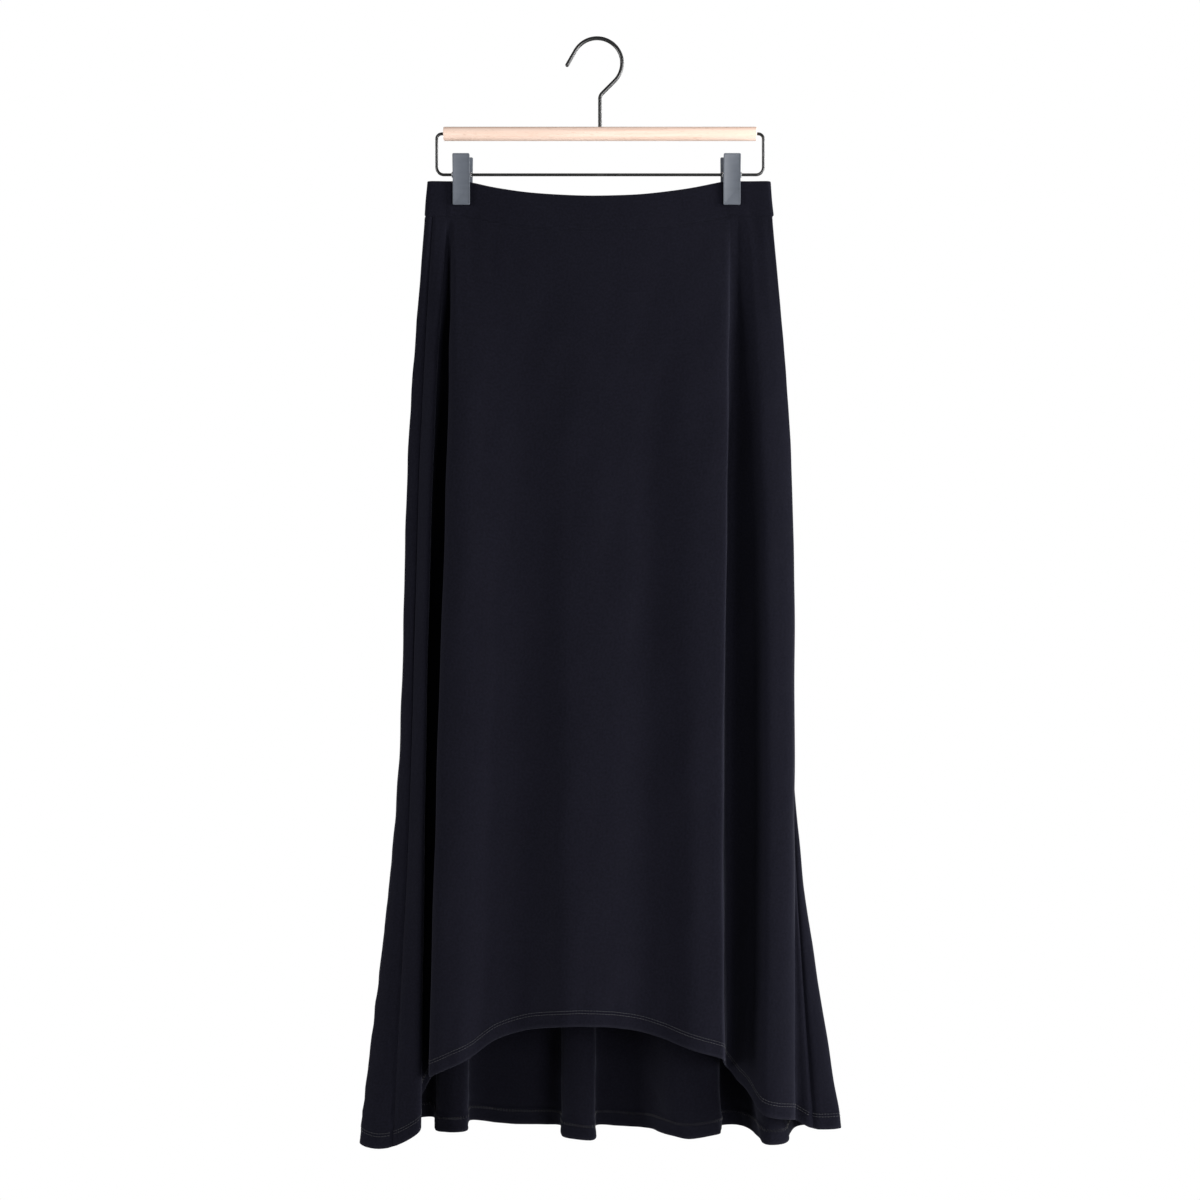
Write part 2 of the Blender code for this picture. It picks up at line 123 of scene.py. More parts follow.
# Soft ridges and troughs: a line and how far past it they lie, as a share of the way to the next line, the
# parts of the length where they start and end, their half width and height in millimetres, and how far
# they sway across on the way down, as the same share
CREASES = (
    ("left_trough_outer", 0.5, 0.00, 0.16, 4.0, -1.9, 0.0),
    ("left_fold_edge", 0.0, 0.00, 0.20, 3.0, 0.7, 0.0),
    ("main_left_edge", 0.0, 0.00, 0.20, 3.0, 0.7, 0.0),
    ("main_left_edge", 0.5, 0.00, 0.16, 5.0, -0.7, 0.4),
    ("main_left_ridge", 0.2, -0.02, 0.12, 4.0, -0.6, 0.5),
    ("left_valley_edge", 0.4, -0.02, 0.09, 5.0, -0.5, -0.3),
    ("left_valley", 0.3, -0.02, 0.07, 8.0, -0.4, 0.2),
    ("right_valley", 0.3, -0.02, 0.07, 7.0, -0.4, 0.2),
    ("right_ridge", 0.3, -0.02, 0.10, 4.5, -0.6, 0.4),
    ("right_ridge", 0.75, -0.02, 0.12, 3.0, -0.8, 0.2),
    ("right_trough", 0.3, -0.02, 0.09, 3.0, -0.6, 0.3),
    ("right_flank", 0.4, -0.02, 0.12, 3.5, -0.7, 0.1),
    ("right_crest", 0.3, -0.02, 0.14, 3.0, 0.5, 0.2),
    ("left_valley_edge", 0.5, 0.55, 1.10, 16.0, -1.1, 0.2),
    ("left_valley_side", 0.5, 0.30, 1.10, 14.0, 0.8, -0.1),
    ("left_valley", 0.45, 0.35, 1.10, 12.0, -0.9, 0.1),
    ("left_valley", 0.75, 0.20, 0.95, 10.0, 0.7, 0.1),
    ("centre_ridge", 0.6, 0.25, 1.10, 14.0, -0.6, -0.2),
    ("right_valley", 0.5, 0.45, 1.10, 12.0, -1.0, 0.1),
    ("right_ridge", 0.45, 0.35, 1.10, 8.0, -0.8, 0.2),
    ("left_seam", 0.5, 0.20, 0.80, 6.0, 0.5, 0.1),
    ("right_flank", 0.5, 0.55, 1.05, 6.0, -0.7, 0.3),
    ("right_crest", 0.5, 0.30, 0.90, 5.0, 0.6, 0.2),
    ("right_seam", 0.4, 0.55, 1.10, 9.0, 0.9, 0.2),
    ("right_side_edge", 0.5, 0.10, 0.80, 7.0, -0.8, 0.2),
    ("right_back_corner", 0.5, 0.30, 1.10, 8.0, 0.9, 0.2),
    ("trough_4", 0.2, -0.02, 0.20, 3.5, 0.8, 0.2),
    ("trough_4", 0.6, 0.25, 1.10, 6.0, -0.9, 0.1),
    ("fold_3_right_edge", 0.5, 0.30, 1.10, 7.0, 0.9, 0.2),
    ("fold_3_crest", 0.5, 0.15, 0.90, 7.0, -0.9, 0.1),
    ("fold_3_left_root", 0.4, -0.02, 0.18, 4.0, -0.8, 0.2),
    ("trough_3", 0.4, 0.20, 1.10, 9.0, 0.9, 0.2),
    ("fold_2_right_root", 0.5, -0.02, 0.15, 3.5, -0.8, 0.2),
    ("fold_2_right_edge", 0.5, 0.55, 1.10, 7.0, -0.9, 0.1),
    ("fold_2_left_root", 0.3, -0.02, 0.22, 4.5, 0.9, 0.3),
    ("fold_2_left_root", 0.6, 0.25, 1.10, 10.0, -1.0, 0.2),
    ("trough_2", 0.3, -0.02, 0.14, 4.0, -0.8, 0.2),
    ("trough_2", 0.45, 0.30, 1.10, 12.0, 1.0, 0.1),
    ("fold_1_right_edge", 0.45, 0.62, 1.10, 4.0, -1.6, 0.35),
    ("fold_1_left_root", 0.5, 0.05, 0.60, 6.0, 0.8, 0.2),
    ("left_back_corner", 0.4, 0.35, 1.10, 8.0, -0.9, 0.3),
    ("left_back_side", 0.4, 0.15, 0.70, 6.0, 0.7, 0.1),
    ("left_front_wrap", 0.4, 0.50, 1.10, 6.0, -0.6, 0.2),
)
# Slow waves all over the cloth: length round the tube, length down it, height, and place of the first crest
WAVES = ((58.0, 410.0, 0.22, 0.3), (37.0, -260.0, 0.14, 1.9),
         (91.0, 175.0, 0.20, 4.1), (23.0, 330.0, 0.06, 2.6))
# Ripples that fade out above the hem: length round the tube, height, and place of the first crest
HEM_RIPPLES = ((31.0, 0.42, 0.7), (19.0, 0.22, 2.9), (53.0, 0.5, 5.0))

# The twin-needle stitching: heights above the hem, pitch and length of a stitch, and the thread's radius
STITCH_HEIGHTS = (13.0, 15.9)
STITCH_PITCH = 3.2
STITCH_LENGTH = 2.6
THREAD = 0.26

# The allowances inside the seams: their widths, and the thread that binds their edge
SIDE_ALLOWANCE = 5.5
SIDE_COLUMNS = 12          # columns of the panel that it lies along
WAIST_ALLOWANCE = 6.0
BINDING_STEP = 0.9
BINDING_REACH = 2.6
BINDING_THREAD = 0.2

WALE = 0.85                # width of a column of loops
COURSE = 0.65              # height of a row of loops

# The waistband's rows, from the seam up: height above the seam, and how far its face is lifted
BAND_ROWS = ((-1.6, -1.6), (0.0, -0.9), (0.5, -0.3), (1.2, 0.0), (2.2, 0.05), (4.0, 0.05), (7.0, 0.0),
             (11.0, 0.0), (15.0, 0.0), (19.0, 0.0), (23.0, 0.0), (27.0, 0.0), (31.0, 0.0), (34.0, 0.0),
             (35.6, 0.0), (36.5, 0.0))
BAND_JOIN = 565.0          # distance round the seam, from the left side, to the joining seam of the band

# The hanger, in millimetres
DOWEL_RADIUS = 7.5
DOWEL_HALF = 169.0
DOWEL_Z = -101.2
BORE_DEPTH = 14.0
HOOK_WIRE = 2.1
HOOK_RADIUS = 27.0
HOOK_OFFSET = -3.2
HOOK_TIP = 20.0
HOOK_NECK = 9.0
FRAME_WIRE = 1.6
FRAME_HALF = 176.4
FRAME_Z = -145.4
FRAME_BENDS = (5.5, 8.0)
CLIPS = (("left", -149.5), ("right", 142.2))
REAR_SHIFT = 2.4
JAW_WIDTH = 18.4
JAW_PLATE = 2.4
JAW_RIM = 1.3
JAW_PROFILE = ((3.0, -178.5), (3.0, -158.0), (4.8, -147.0), (9.0, -124.5))
SPRING_HALF = 10.6
SLEEVE_RADIUS = 2.2
COIL_WIRE = 0.45
COIL_RADIUS = 3.1
COIL_STEP = 1.05
COIL_TURNS = 8

# Colours, as linear red, green and blue
CLOTH_DARK = (0.0023, 0.0023, 0.0044)
CLOTH_LIGHT = (0.0049, 0.0049, 0.0088)
CLOTH_FADED = (0.011, 0.011, 0.016)
LINT = (0.022, 0.022, 0.026)
THREAD_DARK = (0.0045, 0.0045, 0.0070)
THREAD_LIGHT = (0.0085, 0.0085, 0.0120)
WIRE_DARK = (0.010, 0.010, 0.010)
WIRE_RUBBED = (0.02, 0.02, 0.019)
BEECH_PALE = (0.68, 0.53, 0.46)
BEECH_GRAIN = (0.58, 0.42, 0.35)
BEECH_WARM = (0.62, 0.45, 0.32)
BEECH_FLECK = (0.34, 0.22, 0.14)
SLATE_DARK = (0.060, 0.068, 0.082)
SLATE_LIGHT = (0.078, 0.088, 0.106)
STEEL_DARK = (0.50, 0.51, 0.53)
STEEL_LIGHT = (0.72, 0.72, 0.73)

# The cut of each piece as it shows, in metres: width and length, and the area in square metres
FRONT_CUT = (0.70, 1.00)
FRONT_AREA = 0.472
BACK_CUT = (0.89, 1.005)
BACK_AREA = 0.527

# The view and the studio, in metres
VIEW_DISTANCE = 2.1
VIEW_WIDTH = 1.296
VIEW_AIM = (0.0, 0.0, -0.6046)
SENSOR_WIDTH = 36.0        # in millimetres, as the lens is
FLOOR_RADIUS = 1.45
FLOOR_Z = -1.75
ROOM_LIGHT = 0.1
# The softboxes: name, place, size, power in watts, and colour
LIGHTS = (
    ("key_right", (2.12, -0.57, -0.3), (0.8, 2.0), 118.0, (1.0, 0.99, 1.0)),
    ("front_right", (1.38, -2.2, -0.5), (1.0, 1.4), 62.0, (1.0, 1.0, 1.0)),
    ("fill_left", (-2.17, -1.0, -0.4), (0.8, 1.8), 58.0, (1.0, 1.0, 1.0)),
    ("back_right", (2.0, 2.2, 0.0), (0.8, 1.8), 60.0, (1.0, 1.0, 1.0)),
    ("back_left", (-1.9, 2.4, -0.2), (0.8, 1.8), 32.0, (1.0, 1.0, 1.0)),
)


# The cloth's surface

def waist_height(x):
    """Height of the waistband's top edge, which dips between the clips."""
    reach = abs(x - SAG_MIDDLE) / SAG_REACH
    return WAIST - SAG * (1 - min(reach, 1) ** 2.2)


def through_heights(values, z):
    """A smooth curve through a line's four places, read at height z."""
    h = np.array(HEIGHTS)
    v = np.array(values, float)
    run = np.diff(h)
    slope = np.diff(v) / run
    bend = np.empty(len(h))
    bend[1:-1] = (slope[:-1] * run[1:] + slope[1:] * run[:-1]) / (run[:-1] + run[1:])
    bend[0] = slope[0]
    bend[-1] = slope[-1]
    i = min(sum(z < mark for mark in h[1:-1]), len(run) - 1)
    t = (z - h[i]) / run[i]
    if t < 0:
        return v[i] + bend[i] * (z - h[i])
    return ((1 + 2 * t) * (1 - t) ** 2 * v[i] + t * (1 - t) ** 2 * run[i] * bend[i]
            + t * t * (3 - 2 * t) * v[i + 1] + t * t * (t - 1) * run[i] * bend[i + 1])


def line_point(line, part):
    """The point of a lengthwise line at this part of its length, from 0 at the waist seam to 1 at the hem."""
    top = waist_height(line["x_seam"]) - BAND
    z = top + part * (line["hem"] - top)
    x = through_heights([line["x_" + name] for name in ("seam", "hip", "knee", "floor")], z)
    y = through_heights([line["y_" + name] for name in ("seam", "hip", "knee", "floor")], z)
    return np.array((x, y, z))


def ring_corners(part):
    """The corners of one ring, two at each line that the cloth folds over, and their line numbers."""
    points = [line_point(line, part) for line in LINES]
    corners, numbers = [], []
    for i, line in enumerate(LINES):
        here = points[i]
        if line["turn"] == 0:
            corners.append(here)
            numbers.append(i)
            continue
        for other, side in ((points[i - 1], -0.1), (points[(i + 1) % len(points)], 0.1)):
            away = other - here
            length = np.linalg.norm(away)
            corners.append(here + away * min(line["turn"] / length, 0.4))
            numbers.append(i + side)
    return corners, numbers


def smooth_span(a, b, c, d, count):
    """Points from b up to c on the smooth curve through four neighbours."""
    ab, bc, cd = (max(np.linalg.norm(q - p), 1e-6) ** 0.5 for p, q in ((a, b), (b, c), (c, d)))
    start = ((b - a) / ab - (c - a) / (ab + bc) + (c - b) / bc) * bc
    end = ((c - b) / bc - (d - b) / (bc + cd) + (d - c) / cd) * bc
    t = (np.arange(count) / count)[:, None]
    return ((1 + 2 * t) * (1 - t) ** 2 * b + t * (1 - t) ** 2 * start
            + t * t * (3 - 2 * t) * c + t * t * (t - 1) * end)


def cloth_rings(parts):
    """Rings round the skirt at these parts of its length, and each column's place among the lines."""
    corners, numbers = ring_corners(1.0)
    size = len(corners)
    spans = [np.linalg.norm(corners[(i + 1) % size] - corners[i]) for i in range(size)]
    counts = [max(3, math.ceil(span / CELL)) for span in spans]
    rings = []
    for part in parts:
        ring = ring_corners(part)[0]
        rings.append(np.concatenate([
            smooth_span(ring[i - 1], ring[i], ring[(i + 1) % size], ring[(i + 2) % size], counts[i])
            for i in range(size)]))
    ends = numbers[1:] + [len(LINES)]
    places = [np.linspace(numbers[i], ends[i], counts[i], endpoint=False) for i in range(size)]
    return np.array(rings), np.concatenate(places)


def outward(grid):
    """Level unit normals of a grid of rings, pointing out of the tube."""
    along = np.roll(grid, -1, axis=1) - np.roll(grid, 1, axis=1)
    normal = np.stack((along[..., 1], -along[..., 0], np.zeros(grid.shape[:2])), axis=2)
    return normal / np.linalg.norm(normal, axis=2, keepdims=True)


def steps_between(grid, axis):
    """Running length along one axis of a grid of points, from 0."""
    step = np.linalg.norm(np.diff(grid, axis=axis), axis=2)
    zero = np.zeros_like(np.take(step, [0], axis=axis))
    return np.concatenate((zero, np.cumsum(step, axis=axis)), axis=axis)


def bump(distance, width):
    return np.exp(-(distance / width) ** 2)


def relief():
    """How far the cloth stands off its smooth form: creases, slow waves, and ripples at the hem."""
    height = np.zeros_like(AROUND)
    part = PARTS[:, None]
    for line, past, start, end, width, size, sway in CREASES:
        number = LINE_NUMBER[line] + past
        t = np.clip((PARTS - start) / (end - start), 0, 1)
        number = number + sway * (t - 0.5) + 0.06 * np.sin(9 * t + number)
        centre = np.array([np.interp(n, PLACES, row) for n, row in zip(number, AROUND)])
        fade = np.sin(math.pi * t) ** 0.8 * (0.8 + 0.2 * np.cos(11 * t + number))
        height += size * fade[:, None] * bump(AROUND - centre[:, None], width)
    for length, run, size, first in WAVES:
        phase = 2 * math.pi * (AROUND / length + DOWN / run) + first
        height += size * np.sin(phase) * np.clip(part * 8, 0, 1)
    for length, size, first in HEM_RIPPLES:
        height += size * np.sin(2 * math.pi * AROUND / length + first) * bump(1 - part, 0.05)
    return height


def skirt_parts():
    """The parts of the length where rings are drawn, closer together at the waist seam and the hem."""
    top, bottom = TOP_MARKS[-1], LENGTH - HEM_MARKS[0]
    middle = np.linspace(top, bottom, round((bottom - top) / ROW_STEP) + 1)[1:-1]
    marks = np.concatenate((TOP_MARKS, middle, [LENGTH - mark for mark in HEM_MARKS]))
    return marks / marks[-1]


PARTS = skirt_parts()
SKIRT, PLACES = cloth_rings(PARTS)
CLOSED = np.concatenate((SKIRT, SKIRT[:, :1]), axis=1)
AROUND = steps_between(CLOSED, 1)
DOWN = steps_between(CLOSED, 0)
PLACES = np.append(PLACES, len(LINES))
RIGHT_SEAM = int(np.argmin(abs(PLACES - LINE_NUMBER["right_seam"])))


def closed_normals(grid):
    """Level normals of rings whose first column is repeated at the end."""
    normals = outward(grid[:, :-1])
    return np.concatenate((normals, normals[:, :1]), axis=1)


def shell(name, outer, inner, uv, lip, finish):
    """A thin closed shell between two grids of points, with a round lower edge of this many points."""
    rows, columns = outer.shape[:2]
    middle = (outer[-1] + inner[-1]) / 2
    reach = (outer[-1] - inner[-1]) / 2
    fall = outer[-1] - outer[-2]
    fall = fall / np.linalg.norm(fall, axis=1, keepdims=True) * np.linalg.norm(reach, axis=1, keepdims=True)
    turns = np.arange(1, lip + 1) / (lip + 1) * math.pi
    edge = [middle + reach * math.cos(turn) + fall * math.sin(turn) for turn in turns]
    points = np.concatenate([outer, np.array(edge).reshape(lip, columns, 3), inner[::-1]])
    edge_uv = np.repeat(uv[-1:], lip, axis=0)
    flat = np.concatenate([uv, edge_uv, uv[::-1]]).reshape(-1, 2)
    around = len(points)
    index = np.arange(around * columns).reshape(around, columns)
    below = np.roll(index, -1, axis=0)
    faces = np.stack((index[:, :-1], below[:, :-1], below[:, 1:], index[:, 1:]), axis=2).reshape(-1, 4)
    sides = []
    for column in (0, columns - 1):
        loop = index[:, column]
        for i in range(around // 2 - 1):
            side = [loop[i], loop[around - 1 - i], loop[around - 2 - i], loop[i + 1]]
            sides.append(side if column == 0 else side[::-1])
        if around % 2:
            tip = [loop[around // 2 - 1], loop[around // 2 + 1], loop[around // 2]]
            sides.append(tip if column == 0 else tip[::-1])
    mesh = bpy.data.meshes.new(name)
    sides = [[int(number) for number in side] for side in sides]
    mesh.from_pydata((points.reshape(-1, 3) * MM).tolist(), [], faces.tolist() + sides)
    rim = PARTS[-rows:] if rows == len(PARTS) else np.zeros(rows)
    wear = np.repeat(bump((1 - rim) * LENGTH, 2.0)[:, None] * (rim[-1] > 0), columns, axis=1)
    faded = np.concatenate([wear, np.repeat(wear[-1:], lip, axis=0), wear[::-1]])
    wrong = np.concatenate([np.zeros(rows + lip), np.ones(rows)])[:, None] * np.ones(columns)
    for label, values in (("wear", faded), ("inside", wrong)):
        mesh.attributes.new(label, "FLOAT", "POINT").data.foreach_set("value", values.ravel())
    layer = mesh.uv_layers.new(name="cloth")
    corner = np.empty(len(mesh.loops), np.int64)
    mesh.loops.foreach_get("vertex_index", corner)
    layer.data.foreach_set("uv", (flat[corner] * MM).ravel())
    mesh.shade_smooth()
    mesh.set_sharp_from_angle(angle=math.radians(CLOTH_EDGE))
    return linked(name, mesh, finish)


def linked(name, mesh, finish):
    """A new object in the scene with this mesh and finish."""
    mesh.materials.append(finish)
    made = bpy.data.objects.new(name, mesh)
    bpy.context.scene.collection.objects.link(made)
    return made


def hem_folds(columns):
    """The inner face's distance from the middle of the cloth: one layer, and two where the hem turns up."""
    above = (1 - PARTS) * LENGTH
    turned = np.clip((TURN_UP + 0.25 - above) / 0.5, 0, 1)
    return np.repeat((CLOTH / 2 + turned * CLOTH * 0.85)[:, None], columns, axis=1)


def seam_relief(columns):
    """The cloth rolls in at the two side seams, and at the waist seam above."""
    around, top = AROUND[:, columns], DOWN[:, columns]
    reach = np.minimum(around - around[:, :1], around[:, -1:] - around)
    sides = -1.6 * bump(reach, 1.3) + 0.35 * bump(reach - 4, 2.2)
    return sides - 0.7 * bump(top, 1.1) + 0.15 * bump(top - 4, 2)


def extra_columns(grid, fractions):
    """The grid with more columns beside its first and last ones, at these fractions of a column."""
    first = np.stack([grid[:, 0] * (1 - f) + grid[:, 1] * f for f in fractions], 1)
    last = np.stack([grid[:, -1] * (1 - f) + grid[:, -2] * f for f in reversed(fractions)], 1)
    return np.concatenate((grid[:, :1], first, grid[:, 1:-1], last, grid[:, -1:]), axis=1)


class Panel:
    """One cut piece of the skirt: its outer and inner faces as grids of points, in millimetres."""

    def __init__(self, name, first, last, centre, finish):
        columns = np.arange(first, last + 1)
        lift = relief()[:, columns] + seam_relief(columns)
        normals = closed_normals(CLOSED)[:, columns]
        middle = CLOSED[:, columns] + normals * lift[..., None]
        inside = hem_folds(len(columns))
        grids = [middle + normals * CLOTH / 2, middle - normals * inside[..., None], normals]
        straight = np.array([np.interp(LINE_NUMBER[centre], PLACES, row) for row in AROUND])
        uv = np.stack((AROUND[:, columns] - straight[:, None], -DOWN[:, columns]), axis=2)
        self.outer, self.inner, self.normals, self.uv = (
            extra_columns(grid, (0.12, 0.3, 0.6)) for grid in grids + [uv])
        self.object = shell(name, self.outer, self.inner, self.uv, 3, finish)

    def along_hem(self, height, face):
        """Points across the panel at a height above the hem edge, and the normals there."""
        grid = self.outer if face == "outer" else self.inner
        above = np.linalg.norm(np.diff(grid[::-1], axis=0), axis=2).cumsum(axis=0)
        above = np.concatenate((np.zeros((1, grid.shape[1])), above))
        row = np.array([np.interp(height, above[:, c], np.arange(len(above))) for c in range(grid.shape[1])])
        low = np.clip(row.astype(int), 0, len(grid) - 2)
        share = (row - low)[:, None]
        across = np.arange(grid.shape[1])

        def read(values):
            upward = values[::-1]
            return upward[low, across] * (1 - share) + upward[low + 1, across] * share

        sign = 1 if face == "outer" else -1
        return read(grid), read(self.normals) * sign


def resample(points, normals, step, start=0.0):
    """Points every so many millimetres along a run, with the direction of the run and the normal at each."""
    length = np.concatenate(([0], np.linalg.norm(np.diff(points, axis=0), axis=1).cumsum()))
    marks = np.arange(start, length[-1] - step, step)
    along = length[1:] - np.diff(length) / 2
    headings = np.diff(points, axis=0) / np.diff(length)[:, None]

    def read(at, values):
        return np.stack([np.interp(marks, at, values[:, i]) for i in range(3)], axis=1)

    place, heading, normal = read(length, points), read(along, headings), read(length, normals)
    heading /= np.linalg.norm(heading, axis=1, keepdims=True)
    normal -= heading * (normal * heading).sum(axis=1, keepdims=True)
    normal /= np.linalg.norm(normal, axis=1, keepdims=True)
    return place, heading, normal


def joined_mesh(name, points, faces, finish):
    mesh = bpy.data.meshes.new(name)
    mesh.from_pydata((points * MM).tolist(), [], faces.tolist())
    mesh.shade_smooth()
    return linked(name, mesh, finish)


def stitch_form():
    """One stitch lying along X: a thread that rises from the cloth, runs on it, and goes back in."""
    stations = ((-0.5, -0.5, 0.5), (-0.38, 0.35, 0.95), (0.0, 0.62, 1.0), (0.38, 0.35, 0.95),
                (0.5, -0.5, 0.5))
    corners = []
    for along, rise, size in stations:
        for turn in range(5):
            angle = 2 * math.pi * turn / 5
            corners.append((along * STITCH_LENGTH, math.cos(angle) * THREAD * size,
                            math.sin(angle) * THREAD * size + rise * THREAD))
    faces = []
    for ring in range(len(stations) - 1):
        for turn in range(5):
            a, b = ring * 5 + turn, ring * 5 + (turn + 1) % 5
            faces.append((a, a + 5, b + 5, b))
    return np.array(corners), np.array(faces)


def copies_along(form, place, heading, normal):
    """A small form repeated at each place, along the heading and up the normal there."""
    corners, faces = form
    side = np.cross(normal, heading)
    points = (place[:, None] + corners[None, :, :1] * heading[:, None] + corners[None, :, 1:2] * side[:, None]
              + corners[None, :, 2:] * normal[:, None])
    shifts = np.arange(len(place)) * len(corners)
    return points.reshape(-1, 3), (faces[None] + shifts[:, None, None]).reshape(-1, faces.shape[1])


def thread_run(route, normals, radius):
    """A four-sided thread along a route of points."""
    sides = 4
    heading = np.gradient(route, axis=0)
    heading /= np.linalg.norm(heading, axis=1, keepdims=True)
    side = np.cross(normals, heading)
    side /= np.linalg.norm(side, axis=1, keepdims=True)
    up = np.cross(heading, side)
    turn = 2 * math.pi * np.arange(sides) / sides
    points = (route[:, None] + radius * (np.cos(turn)[None, :, None] * side[:, None]
                                         + np.sin(turn)[None, :, None] * up[:, None]))
    index = np.arange(len(route) * sides).reshape(len(route), sides)
    beside = np.roll(index, -1, axis=1)
    faces = np.stack((index[:-1], index[1:], beside[1:], beside[:-1]), axis=2).reshape(-1, 4)
    return points.reshape(-1, 3), faces


def gathered(parts):
    """Several sets of points and faces as one."""
    points, faces, shift = [], [], 0
    for some_points, some_faces in parts:
        points.append(some_points)
        faces.append(some_faces + shift)
        shift += len(some_points)
    return np.concatenate(points), np.concatenate(faces)


def hem_stitches(panel, finish):
    """Two rows of straight stitches outside, and the thread that zigzags between them inside."""
    name = panel.object.name
    rows = []
    for height in STITCH_HEIGHTS:
        place, heading, normal = resample(*panel.along_hem(height, "outer"), STITCH_PITCH, 1.0)
        rows.append(copies_along(stitch_form(), place, heading, normal))
    outside = joined_mesh(name + "_hem_stitches", *gathered(rows), finish)

    low, high = (resample(*panel.along_hem(height, "inner"), STITCH_PITCH / 2, 1.0)
                 for height in STITCH_HEIGHTS)
    count = min(len(low[0]), len(high[0]))
    swap = (np.arange(count) % 2 == 0)[:, None]
    normals = np.where(swap, low[2][:count], high[2][:count])
    zigzag = np.where(swap, low[0][:count], high[0][:count]) + normals * THREAD * 0.7
    inside = joined_mesh(name + "_hem_cover_thread", *thread_run(zigzag, normals, THREAD * 0.8), finish)
    return [outside, inside]


def make_band(finish):
    """The waistband: doubled cloth over its elastic, folded at the top edge and rolled in at the seam."""
    seam, normals, around = CLOSED[0], closed_normals(CLOSED)[0], AROUND[0]
    outer, inner, uv = [], [], []
    for height, lift in BAND_ROWS:
        part = min(max(height / BAND, 0), 1)
        ring = seam.copy()
        ring[:, 0] *= 1 - (1 - BAND_TAPER) * part
        ring[:, 2] += height
        soft = math.sin(math.pi * part)
        pucker = (0.16 * np.sin(around / 3.1 + 2 * np.sin(around / 29)) * bump(height - 3, 5)
                  + 0.22 * soft * np.sin(around / 17 + height / 11))
        joint = -0.45 * bump(around - BAND_JOIN, 1.0)
        half = BAND_CLOTH / 2 + (lift + pucker + joint)[:, None] if height > 0 else BAND_CLOTH / 2 + lift
        outer.append(ring + normals * half)
        inner.append(ring - normals * (BAND_CLOTH / 2 if height > 0 else 0.3))
        uv.append(np.stack((around, np.full_like(around, height)), axis=1))
    grids = [np.array(rows)[:, ::-1] for rows in (outer, inner, uv)]
    band = shell("waistband_cloth", *grids, 5, finish)
    merge(band)
    return band


def merge(piece):
    """Join the points that lie on each other, and turn the faces outwards."""
    only(piece)
    bpy.ops.object.mode_set(mode="EDIT")
    bpy.ops.mesh.select_all(action="SELECT")
    bpy.ops.mesh.remove_doubles(threshold=0.00001)
    bpy.ops.mesh.normals_make_consistent(inside=False)
    bpy.ops.object.mode_set(mode="OBJECT")


def fill_ends(piece):
    """Close the open ends of a strip or a coil."""
    only(piece)
    bpy.ops.object.mode_set(mode="EDIT")
    bpy.ops.mesh.select_mode(type="EDGE")
    bpy.ops.mesh.select_all(action="DESELECT")
    bpy.ops.mesh.select_non_manifold()
    bpy.ops.mesh.fill()
    bpy.ops.object.mode_set(mode="OBJECT")
    merge(piece)


def only(piece):
    """Make one piece the only one selected, and the active one."""
    bpy.ops.object.select_all(action="DESELECT")
    bpy.context.view_layer.objects.active = piece
    piece.select_set(True)


def along_face(faces, normals, reach):
    """The points and the normals at this distance from each row's first point, along the face."""
    far = steps_between(faces, 1)
    points = [[np.interp(reach, far[i], faces[i, :, axis]) for axis in range(3)] for i in range(len(faces))]
    leans = [[np.interp(reach, far[i], normals[i, :, axis]) for axis in range(3)] for i in range(len(faces))]
    leans = np.array(leans)
    return np.array(points), leans / np.linalg.norm(leans, axis=1, keepdims=True)


def allowance(name, faces, normals, width, cloth, thread):
    """A seam's two raw edges, pressed to one side along the inner face and bound with thread."""
    profile = ((0.2, 0.05), (0.4, 0.95), (width * 0.5, 1.05), (width, 0.95), (width + 0.2, 0.5),
               (width, 0.1), (width * 0.5, 0.05))
    lines = [along_face(faces, normals, reach) for reach, rise in profile]
    sections = [line + lean * rise for (line, lean), (reach, rise) in zip(lines, profile)]
    sections = np.stack(sections, axis=1)
    index = np.arange(sections.shape[0] * len(profile)).reshape(-1, len(profile))
    beside = np.roll(index, -1, axis=1)
    quads = np.stack((index[:-1], beside[:-1], beside[1:], index[1:]), axis=2).reshape(-1, 4)
    strip = joined_mesh(name, sections.reshape(-1, 3), quads, cloth)
    fill_ends(strip)
    edge, lean = along_face(faces, normals, width)
    inner, _ = along_face(faces, normals, width - BINDING_REACH)
    place, heading, normal = resample(edge, lean, BINDING_STEP, 0.5)
    away = np.cross(heading, normal)
    away *= np.sign((away * (edge - inner)[len(edge) // 2]).sum(axis=1, keepdims=True))
    step = (np.arange(len(place)) % 4)[:, None]
    across = np.select([step == 0, step == 2], [-BINDING_REACH, 0.35], 0.1)
    rise = np.select([step == 0, step == 2], [1.15, 0.5], 1.05)
    route = place + away * across + normal * rise
    binding = joined_mesh(name + "_binding", *thread_run(route, normal, BINDING_THREAD), thread)
    return [strip, binding]


def side_allowance(name, panel, side, cloth, thread):
    """A side seam's allowance, which lies on one panel's inner face."""
    rows = (PARTS > 0.03) & (PARTS < 1 - (TURN_UP + 1) / LENGTH)
    step = 1 if side == "first" else -1
    faces, normals = panel.inner[rows, ::step], panel.normals[rows, ::step]
    return allowance(name, faces[:, :SIDE_COLUMNS], -normals[:, :SIDE_COLUMNS], SIDE_ALLOWANCE, cloth, thread)


def waist_allowance(name, panel, cloth, thread):
    """The waist seam's allowance, pressed down on one panel's inner face."""
    faces, normals = panel.inner[1:16].swapaxes(0, 1), panel.normals[1:16].swapaxes(0, 1)
    return allowance(name, faces, -normals, WAIST_ALLOWANCE, cloth, thread)


# The hanger

def settle(name, finish):
    """Name the new primitive, apply its place to its mesh, and give it its finish."""
    piece = bpy.context.active_object
    piece.name = name
    only(piece)
    bpy.ops.object.transform_apply(location=True, rotation=True, scale=True)
    piece.data.materials.append(finish)
    return piece


